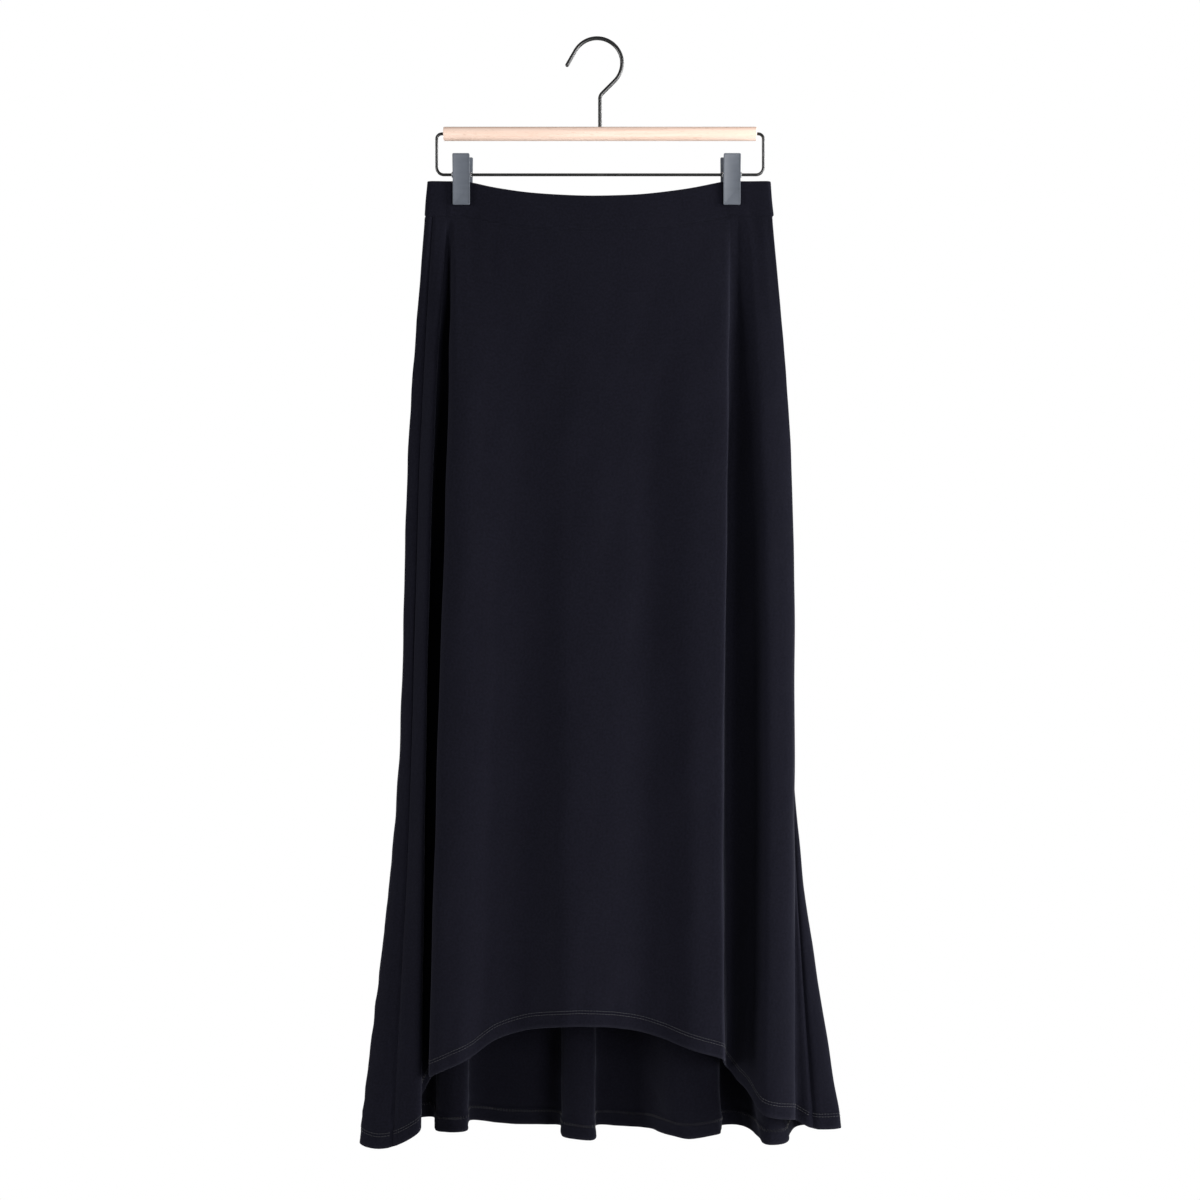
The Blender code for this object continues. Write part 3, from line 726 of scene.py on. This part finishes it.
def pick(piece, kind, items, test):
    """Go into edit mode with only the faces or the edges selected that pass a test."""
    bpy.ops.object.mode_set(mode="OBJECT")
    mesh = piece.data
    for parts in (mesh.vertices, mesh.edges, mesh.polygons):
        parts.foreach_set("select", [False] * len(parts))
    for item in items:
        item.select = test(item)
    bpy.ops.object.mode_set(mode="EDIT")
    bpy.ops.mesh.select_mode(type=kind)


def pick_faces(piece, test):
    """Pick the faces that pass a test of their middle, in millimetres, and their normal."""
    pick(piece, "FACE", piece.data.polygons, lambda face: test(face.center / MM, face.normal))


def extrude(x, y, z):
    """Extrude the picked faces by this much in millimetres."""
    bpy.ops.mesh.extrude_region_move(TRANSFORM_OT_translate={"value": (x * MM, y * MM, z * MM)})


def rod(name, radius, half, middle, height, vertices, finish):
    """A round rod along X."""
    bpy.ops.object.select_all(action="DESELECT")
    bpy.ops.mesh.primitive_cylinder_add(
        vertices=vertices, radius=radius * MM, depth=2 * half * MM,
        location=(middle * MM, 0, height * MM), rotation=(0, math.pi / 2, 0))
    return settle(name, finish)


def finish_piece(piece):
    """Shade a form smooth, with its sharp edges kept."""
    bpy.ops.object.mode_set(mode="OBJECT")
    only(piece)
    bpy.ops.object.shade_smooth_by_angle(angle=math.radians(HARD_EDGE))
    return piece


def round_edges(piece, width, segments=3, angle=35):
    """Round the sharp edges of a finished form."""
    bpy.ops.object.mode_set(mode="OBJECT")
    only(piece)
    rounding = piece.modifiers.new("rounded", "BEVEL")
    rounding.width = width * MM
    rounding.segments = segments
    rounding.limit_method = "ANGLE"
    rounding.angle_limit = math.radians(angle)
    bpy.ops.object.modifier_apply(modifier=rounding.name)


def wire(name, radius, start, heading, moves, tip, finish):
    """A round wire in the X-Z plane, as seen from the front. A move is a straight run, or a bend's radius
    and its angle in degrees, which turns to the left, or to the right if it is negative."""
    bpy.ops.object.select_all(action="DESELECT")
    angle = math.radians(heading)
    place = np.array(start, float)
    bpy.ops.mesh.primitive_circle_add(
        vertices=20, radius=radius * MM, location=(place[0] * MM, 0, place[1] * MM),
        rotation=(0, math.pi / 2 - angle, 0))
    piece = settle(name, finish)
    bpy.ops.object.mode_set(mode="EDIT")
    bpy.ops.mesh.select_mode(type="EDGE")
    bpy.ops.mesh.select_all(action="SELECT")

    def advance(length):
        step = length * np.array((math.cos(angle), math.sin(angle)))
        bpy.ops.mesh.extrude_edges_move(TRANSFORM_OT_translate={"value": (step[0] * MM, 0, step[1] * MM)})
        return place + step

    for move in moves:
        if len(move) == 1:
            place = advance(move[0])
            continue
        bend, degrees = move
        left = np.array((-math.sin(angle), math.cos(angle))) * math.copysign(1, degrees)
        centre = place + left * bend
        bpy.ops.mesh.spin(steps=max(4, round(abs(degrees) / 5)), angle=math.radians(degrees),
                          center=(centre[0] * MM, 0, centre[1] * MM), axis=(0, 1, 0))
        angle += math.radians(degrees)
        turned = np.array((math.sin(angle), -math.cos(angle))) * math.copysign(1, degrees)
        place = centre + turned * bend
    if tip:
        shares = (1.0, 0.92, 0.72, 0.4)
        for before, after in zip(shares, shares[1:]):
            place = advance(radius * (math.sqrt(1 - after ** 2) - math.sqrt(1 - before ** 2)))
            centre = (place[0] * MM, 0, place[1] * MM)
            bpy.ops.transform.resize(value=(after / before,) * 3, center_override=centre)
    bpy.ops.mesh.edge_face_add()
    bpy.ops.mesh.select_all(action="DESELECT")
    bpy.ops.mesh.select_non_manifold()
    bpy.ops.mesh.edge_face_add()
    bpy.ops.object.mode_set(mode="OBJECT")
    merge(piece)
    return finish_piece(piece)


def make_hook(finish):
    """The hook: up the stem, a bend to the right, round the bow to the left, and a straight tip."""
    foot = DOWEL_Z + DOWEL_RADIUS - BORE_DEPTH + 0.6
    bow_middle = np.array((HOOK_OFFSET, HOOK_WIRE - HOOK_RADIUS))
    bow_end = bow_middle + HOOK_RADIUS * math.sqrt(0.5) * np.array((1, -1))
    corner = bow_end[1] - bow_end[0]
    tangent = HOOK_NECK * math.tan(math.radians(22.5))
    moves = ((corner - tangent - foot,), (HOOK_NECK, -45), (bow_end[0] * math.sqrt(2) - tangent,),
             (HOOK_RADIUS, 195), (HOOK_TIP - HOOK_WIRE,))
    return wire("hook_wire", HOOK_WIRE, (0.0, foot), 90, moves, True, finish)


def make_frame(finish):
    """The frame: out of one end of the dowel, down, across under it, and up into the other end."""
    end = DOWEL_HALF - BORE_DEPTH + 0.6
    upper, lower = FRAME_BENDS
    out, fall = FRAME_HALF - end - upper, DOWEL_Z - FRAME_Z - upper - lower
    moves = ((out,), (upper, 90), (fall,), (lower, 90), (2 * (FRAME_HALF - lower),), (lower, 90), (fall,),
             (upper, 90), (out,))
    return wire("frame_wire", FRAME_WIRE, (-end, DOWEL_Z), 180, moves, False, finish)


def make_dowel(finish):
    """A turned dowel with eased ends, bored for the frame's wire."""
    piece = rod("dowel_wood", DOWEL_RADIUS, DOWEL_HALF, 0, DOWEL_Z, 72, finish)
    pick_faces(piece, lambda middle, normal: abs(normal.x) > 0.9)
    bpy.ops.mesh.bevel(offset=1.1 * MM, segments=4, affect="EDGES")
    for side in (-1, 1):
        pick_faces(piece, lambda middle, normal: normal.x * side > 0.99 and abs(middle.x) > DOWEL_HALF - 0.05)
        bpy.ops.mesh.inset(thickness=(DOWEL_RADIUS - 1.1 - FRAME_WIRE - 0.3) * MM)
        extrude(-side * BORE_DEPTH, 0, 0)
    return finish_piece(piece)


def block(name, low, high, rounding, finish):
    """A rounded block between two corners in millimetres."""
    bpy.ops.object.select_all(action="DESELECT")
    middle = [(a + b) / 2 * MM for a, b in zip(low, high)]
    size = [(b - a) * MM for a, b in zip(low, high)]
    bpy.ops.mesh.primitive_cube_add(size=1, location=middle)
    bpy.context.active_object.scale = size
    piece = settle(name, finish)
    round_edges(piece, rounding)
    return finish_piece(piece)


def join(pieces):
    """Join pieces into the first of them."""
    bpy.ops.object.select_all(action="DESELECT")
    for piece in pieces:
        piece.select_set(True)
    bpy.context.view_layer.objects.active = pieces[0]
    bpy.ops.object.join()
    return pieces[0]


def make_jaw(name, middle, side, finish):
    """A moulded jaw: a flat grip and a leaning finger end, with a raised edge outside and a ridged pad."""
    low, high = middle - JAW_WIDTH / 2, middle + JAW_WIDTH / 2
    (near, foot), (_, shoulder) = JAW_PROFILE[:2]
    bpy.ops.object.select_all(action="DESELECT")
    bpy.ops.mesh.primitive_cube_add(size=1, location=(middle * MM, side * (near + JAW_PLATE / 2) * MM,
                                                      (foot + shoulder) / 2 * MM))
    bpy.context.active_object.scale = (JAW_WIDTH * MM, JAW_PLATE * MM, (shoulder - foot) * MM)
    piece = settle(name, finish)
    pick_faces(piece, lambda centre, normal: normal.z > 0.9)
    for (y, z), (next_y, next_z) in zip(JAW_PROFILE[1:], JAW_PROFILE[2:]):
        extrude(0, side * (next_y - y), next_z - z)
    bpy.ops.object.mode_set(mode="OBJECT")
    merge(piece)
    pick(piece, "EDGE", piece.data.edges, lambda edge: is_corner(piece.data, edge))
    bpy.ops.mesh.bevel(offset=1.3 * MM, segments=4, affect="EDGES")
    pick_faces(piece, lambda centre, normal: normal.y * side > 0.7)
    bpy.ops.mesh.inset(thickness=JAW_RIM * MM)
    extrude(0, -side * 0.22, 0)
    round_edges(piece, 0.4)
    finish_piece(piece)
    parts = [piece]
    for number in range(6):
        z = foot + 2.2 + 2.5 * number
        inside, outside = sorted((side * (near - 0.32), side * (near + 0.4)))
        corners = (low + 1.6, inside, z), (high - 1.6, outside, z + 1.7)
        parts.append(block(name + "_pad", *corners, 0.3, finish))
    return join(parts)


def is_corner(mesh, edge):
    """True for the short edges through the plate at its four outer corners."""
    a, b = (mesh.vertices[i].co / MM for i in edge.vertices)
    ends = (JAW_PROFILE[0][1], JAW_PROFILE[-1][1])
    return abs(a.x - b.x) < 0.01 and abs(a.z - b.z) < 0.01 and min(abs(a.z - end) for end in ends) < 0.01


def bar(name, start, end, radius, finish):
    """A straight round bar between two points in millimetres, with eased ends."""
    bpy.ops.object.select_all(action="DESELECT")
    a, b = Vector(start) * MM, Vector(end) * MM
    bpy.ops.mesh.primitive_cylinder_add(
        vertices=12, radius=radius * MM, depth=(b - a).length, location=(a + b) / 2,
        rotation=(b - a).to_track_quat("Z", "Y").to_euler())
    piece = settle(name, finish)
    round_edges(piece, radius * 0.4, 2, 60)
    return finish_piece(piece)


def make_spring(name, middle, finish):
    """The steel sleeve on the frame's wire, the coils of the spring round it, and the spring's two legs."""
    sleeve = rod(name, SLEEVE_RADIUS, SPRING_HALF, middle, FRAME_Z, 32, finish)
    for side in (-1, 1):
        pick_faces(sleeve, lambda centre, normal: normal.x * side > 0.9)
        bpy.ops.transform.translate(value=(-side * 1.3 * MM, 0, 0))
        extrude(side * 0.5, 0, 0)
        edge = ((middle + side * (SPRING_HALF - 0.8)) * MM, 0, FRAME_Z * MM)
        bpy.ops.transform.resize(value=(1, 1.35, 1.35), center_override=edge)
        extrude(side * 0.8, 0, 0)
        bpy.ops.mesh.inset(thickness=(SLEEVE_RADIUS * 1.35 - FRAME_WIRE - 0.15) * MM)
        extrude(-side * 0.6, 0, 0)
    round_edges(sleeve, 0.18, 2)
    finish_piece(sleeve)

    bpy.ops.object.select_all(action="DESELECT")
    bpy.ops.mesh.primitive_circle_add(vertices=10, radius=COIL_WIRE * MM, rotation=(math.pi / 2, 0, 0),
                                      location=((middle - COIL_TURNS * COIL_STEP / 2) * MM, 0, FRAME_Z * MM))
    coil = bpy.context.active_object
    bpy.ops.object.transform_apply(location=False, rotation=True, scale=False)
    bpy.ops.object.mode_set(mode="EDIT")
    bpy.ops.mesh.select_all(action="SELECT")
    bpy.ops.transform.translate(value=(0, 0, COIL_RADIUS * MM))
    bpy.ops.object.mode_set(mode="OBJECT")
    winding = coil.modifiers.new("winding", "SCREW")
    winding.axis = "X"
    winding.angle = 2 * math.pi
    winding.screw_offset = COIL_STEP * MM
    winding.iterations = COIL_TURNS
    winding.steps = winding.render_steps = 24
    bpy.ops.object.modifier_apply(modifier=winding.name)
    coil = settle(name + "_coil", finish)
    fill_ends(coil)
    finish_piece(coil)
    legs = []
    for side in (-1, 1):
        x = middle + side * COIL_TURNS * COIL_STEP / 2
        foot, tip = (x, 0, FRAME_Z + COIL_RADIUS), (x, side * 5.6, FRAME_Z + 12)
        legs.append(bar(name + "_leg", foot, tip, COIL_WIRE, finish))
    return join([sleeve, coil] + legs)


# Finishes

class Value:
    """A socket of a finish that works in sums: each operation adds its Math node."""

    def __init__(self, finish, socket):
        self.finish = finish
        self.socket = socket

    def math(self, operation, *others):
        return self.finish.node("Math", {"operation": operation}, dict(enumerate((self, *others))))

    def __add__(self, other):
        return self.math("ADD", other)

    def __mul__(self, other):
        return self.math("MULTIPLY", other)

    def __sub__(self, other):
        return self.math("SUBTRACT", other)

    def __rsub__(self, other):
        return self.finish.node("Math", {"operation": "SUBTRACT"}, {0: other, 1: self})

    __radd__ = __add__
    __rmul__ = __mul__


class Finish:
    """A material being made: its nodes, and the shader that they end in."""

    def __init__(self, name, roughness, specular=0.5, **constants):
        self.material = bpy.data.materials.new(name)
        self.material.use_nodes = True
        self.tree = self.material.node_tree
        self.shader = self.tree.nodes["Principled BSDF"]
        self.feed("Roughness", roughness)
        self.feed("Specular IOR Level", specular)
        for socket, value in constants.items():
            self.feed(socket.replace("_", " "), value)

    def put(self, socket, value):
        if isinstance(value, Value):
            self.tree.links.new(value.socket, socket)
        else:
            socket.default_value = value

    def feed(self, socket, value):
        self.put(self.shader.inputs[socket], value)

    def node(self, kind, settings, sockets, output=0):
        """Add a node of this type: its settings first, then the values or links of its sockets."""
        made = self.tree.nodes.new("ShaderNode" + kind)
        for name, setting in settings.items():
            setattr(made, name, setting)
        for name, value in sockets.items():
            self.put(made.inputs[name], value)
        return Value(self, made.outputs[output])

    def cloth_place(self):
        """Place on the flat cloth, round it and down it, in metres."""
        place = self.node("UVMap", {"uv_map": "cloth"}, {})
        return place, self.node("SeparateXYZ", {}, {0: place}), self.node("SeparateXYZ", {}, {0: place}, 1)

    def object_place(self, scale=(1, 1, 1)):
        """Place on the object in metres, stretched by these factors."""
        place = self.node("TexCoord", {}, {}, "Object")
        return self.node("VectorMath", {"operation": "MULTIPLY"}, {0: place, 1: scale})

    def noise(self, place, scale, detail=2.0, roughness=0.5):
        sockets = {"Vector": place, "Scale": scale, "Detail": detail, "Roughness": roughness}
        return self.node("TexNoise", {}, sockets)

    def between(self, value, low, high):
        """0 below the low mark, 1 above the high mark, and a soft step between them."""
        return self.node("MapRange", {"interpolation_type": "SMOOTHSTEP"}, {0: value, 1: low, 2: high})

    def mix(self, share, first, second):
        colours = [value if isinstance(value, Value) else (*value, 1.0) for value in (first, second)]
        return self.node("Mix", {"data_type": "RGBA"}, {0: share, 6: colours[0], 7: colours[1]}, 2)

    def raise_surface(self, height, depth):
        """Bump the surface by a height from 0 to 1, times a depth in millimetres."""
        bumped = self.node("Bump", {}, {"Strength": 1.0, "Distance": depth * MM, "Height": height})
        self.feed("Normal", bumped)


def jersey():
    """Matte knit: wales of V-shaped loops outside, rows of bars inside, soft mottling, a little lint, and
    painted shade in the gaps between the loops.
    """
    finish = Finish("black_jersey", 0.9, 0.04, Sheen_Weight=0.12, Sheen_Roughness=0.45,
                    Sheen_Tint=(0.35, 0.36, 0.48, 1.0))
    place, around, down = finish.cloth_place()
    wale = around * (1 / (WALE * MM))
    course = down * (1 / (COURSE * MM))
    slant = (wale.math("FRACT") - 0.5).math("ABSOLUTE")
    loops = (course + slant).math("FRACT")
    loops = (loops - 0.5).math("ABSOLUTE") * 2
    ribs = 1 - slant * 2
    bars = ((course.math("FRACT") - 0.5).math("ABSOLUTE")) * 2
    wrong = finish.node("Attribute", {"attribute_name": "inside"}, {}, "Fac")
    knit = (loops * 0.5 + ribs * 0.5) * (1 - wrong) + bars * wrong
    broad = finish.noise(place, 14.0, 3.0)
    fine = finish.noise(place, 420.0, 3.0, 0.6)
    worn = finish.node("Attribute", {"attribute_name": "wear"}, {}, "Fac")
    shade = broad * 0.35 + finish.between(fine, 0.34, 0.66) * 0.65
    colour = finish.mix(shade, CLOTH_DARK, CLOTH_LIGHT)
    colour = finish.mix(worn * 0.35, colour, CLOTH_FADED)
    # Painted shade: the colour is darkened by half in the low gaps between the knit's loops and bars, where
    # the bump is lowest.
    colour = finish.mix(finish.between(knit, 0.0, 0.35), finish.mix(0.5, colour, (0.0, 0.0, 0.0)), colour)
    lint = finish.between(finish.noise(place, 900.0, 1.0), 0.79, 0.83)
    finish.feed("Base Color", finish.mix(lint * 0.6, colour, LINT))
    finish.feed("Roughness", finish.noise(place, 60.0) * 0.15 + 0.82)
    finish.raise_surface(knit * 0.5 + fine * 0.5 + finish.noise(place, 90.0) * 0.5, 0.16)
    return finish.material


def thread():
    """Spun thread, a little glossier than the cloth, with its twist showing."""
    finish = Finish("black_thread", 0.55, 0.35, Sheen_Weight=0.1)
    place = finish.object_place()
    sockets = {"Vector": place, "Scale": 900.0, "Distortion": 2.0}
    twist = finish.node("TexWave", {"bands_direction": "DIAGONAL"}, sockets)
    finish.feed("Base Color", finish.mix(twist * 0.6, THREAD_DARK, THREAD_LIGHT))
    finish.raise_surface(twist, 0.05)
    return finish.material


def lacquered_wire():
    """Steel wire under black lacquer: slightly uneven, with dull rubbed patches."""
    finish = Finish("lacquered_wire", 0.35, 0.4, Coat_Weight=0.2, Coat_Roughness=0.25)
    place = finish.object_place()
    rubbed = finish.between(finish.noise(place, 60.0, 4.0), 0.55, 0.75)
    finish.feed("Base Color", finish.mix(rubbed * 0.6, WIRE_DARK, WIRE_RUBBED))
    finish.feed("Roughness", rubbed * 0.2 + 0.3)
    finish.raise_surface(finish.noise(place, 700.0), 0.06)
    return finish.material


def beech():
    """Pale beech: long soft grain along the dowel, and the short dark flecks of the wood."""
    finish = Finish("beech", 0.5, 0.3)
    grain = finish.noise(finish.object_place((9, 260, 260)), 1.0, 5.0, 0.6)
    broad = finish.noise(finish.object_place((3, 30, 30)), 1.0, 2.0)
    fleck = finish.between(finish.noise(finish.object_place((160, 1500, 1500)), 1.0, 1.0), 0.66, 0.72)
    colour = finish.mix(finish.between(grain, 0.3, 0.7), BEECH_PALE, BEECH_GRAIN)
    colour = finish.mix(broad * 0.4, colour, BEECH_WARM)
    finish.feed("Base Color", finish.mix(fleck * 0.45, colour, BEECH_FLECK))
    finish.feed("Roughness", grain * 0.2 + 0.42)
    finish.raise_surface(1 - fleck * 0.6 - grain * 0.3, 0.05)
    return finish.material


def clip_plastic():
    """Slate-grey moulded plastic with a fine satin grain and faint flow marks."""
    finish = Finish("clip_plastic", 0.4, 0.4)
    place = finish.object_place()
    flow = finish.noise(finish.object_place((60, 60, 260)), 1.0, 3.0)
    finish.feed("Base Color", finish.mix(flow, SLATE_DARK, SLATE_LIGHT))
    finish.feed("Roughness", finish.noise(place, 1400.0) * 0.2 + 0.34)
    finish.raise_surface(finish.noise(place, 2600.0, 1.0), 0.04)
    return finish.material


def spring_steel():
    """Bright steel, drawn along its length."""
    finish = Finish("spring_steel", 0.3, Metallic=1.0)
    drawn = finish.noise(finish.object_place((90, 3000, 3000)), 1.0, 2.0)
    finish.feed("Base Color", finish.mix(drawn, STEEL_DARK, STEEL_LIGHT))
    finish.feed("Roughness", drawn * 0.25 + 0.18)
    return finish.material


def floor_paint():
    finish = Finish("studio_floor", 0.8, 0.2)
    cloudy = finish.noise(finish.object_place(), 3.0)
    finish.feed("Base Color", finish.mix(cloudy, (0.46, 0.46, 0.46), (0.5, 0.5, 0.5)))
    return finish.material


# The studio

def softbox(name, place, aim, size, power, colour):
    lamp = bpy.data.lights.new(name, "AREA")
    lamp.shape = "RECTANGLE"
    lamp.size, lamp.size_y = size
    lamp.energy = power
    lamp.color = colour
    made = bpy.data.objects.new(name, lamp)
    made.location = place
    made.rotation_euler = (Vector(aim) - Vector(place)).to_track_quat("-Z", "Y").to_euler()
    bpy.context.scene.collection.objects.link(made)


def studio():
    """A room that is white to look at and dim as a light, the softboxes, a pale floor, and the view."""
    scene = bpy.context.scene
    scene.view_settings.view_transform = "Standard"
    world = bpy.data.worlds.new("white_room")
    world.use_nodes = True
    seen = world.node_tree.nodes.new("ShaderNodeLightPath")
    strength = world.node_tree.nodes.new("ShaderNodeMapRange")
    strength.inputs["To Min"].default_value = ROOM_LIGHT
    room = world.node_tree.nodes["Background"]
    room.inputs["Color"].default_value = (1, 1, 1, 1)
    world.node_tree.links.new(seen.outputs["Is Camera Ray"], strength.inputs["Value"])
    world.node_tree.links.new(strength.outputs["Result"], room.inputs["Strength"])
    scene.world = world
    for name, place, size, power, colour in LIGHTS:
        softbox(name, place, VIEW_AIM, size, power, colour)
    bpy.ops.object.select_all(action="DESELECT")
    bpy.ops.mesh.primitive_circle_add(vertices=96, radius=FLOOR_RADIUS, fill_type="NGON",
                                      location=(0, 0, FLOOR_Z))
    floor = settle("studio_floor", floor_paint())
    view = bpy.data.cameras.new("view")
    view.sensor_width = 36
    view.lens = SENSOR_WIDTH * VIEW_DISTANCE / VIEW_WIDTH
    camera = bpy.data.objects.new("view", view)
    camera.location = (VIEW_AIM[0], -VIEW_DISTANCE, VIEW_AIM[2])
    camera.rotation_euler = (math.pi / 2, 0, 0)
    scene.collection.objects.link(camera)
    scene.camera = camera


def place_on_body(piece, nodes=()):
    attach(piece, "root")
    if nodes:
        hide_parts(*nodes)


def make_skirt():
    cloth, sewn = jersey(), thread()
    front = Panel("front_panel_cloth", 0, RIGHT_SEAM, "centre_ridge", cloth)
    back = Panel("back_panel_cloth", RIGHT_SEAM, len(PLACES) - 1, "trough_3", cloth)
    band = make_band(cloth)
    cuts = ((front, "front_panel", FRONT_CUT, FRONT_AREA), (back, "back_panel", BACK_CUT, BACK_AREA))
    for panel, node, flat, area in cuts:
        extras = hem_stitches(panel, sewn)
        extras += waist_allowance(node + "_waist_allowance", panel, cloth, sewn)
        if node == "back_panel":
            extras += side_allowance("right_side_allowance", panel, "first", cloth, sewn)
            extras += side_allowance("left_side_allowance", panel, "last", cloth, sewn)
        place_on_body(panel.object, (node,))
        for extra in extras:
            place_on_body(extra)
    place_on_body(band, ("waistband",))


def make_hanger():
    wire_finish, plastic, steel = lacquered_wire(), clip_plastic(), spring_steel()
    place_on_body(make_hook(wire_finish), ("hanger_hook",))
    place_on_body(make_frame(wire_finish), ("hanger_frame",))
    place_on_body(make_dowel(beech()), ("hanger_dowel",))
    for side, middle in CLIPS:
        for end, sign in (("front", -1), ("rear", 1)):
            across = middle if end == "front" else middle - math.copysign(REAR_SHIFT, middle)
            jaw = make_jaw(f"{side}_{end}_jaw", across, sign, plastic)
            place_on_body(jaw, (f"clip_{side}_{end}_jaw",))
        spring = make_spring(f"{side}_spring", middle, steel)
        place_on_body(spring, (f"clip_{side}_spring",))


make_skirt()
make_hanger()
studio()
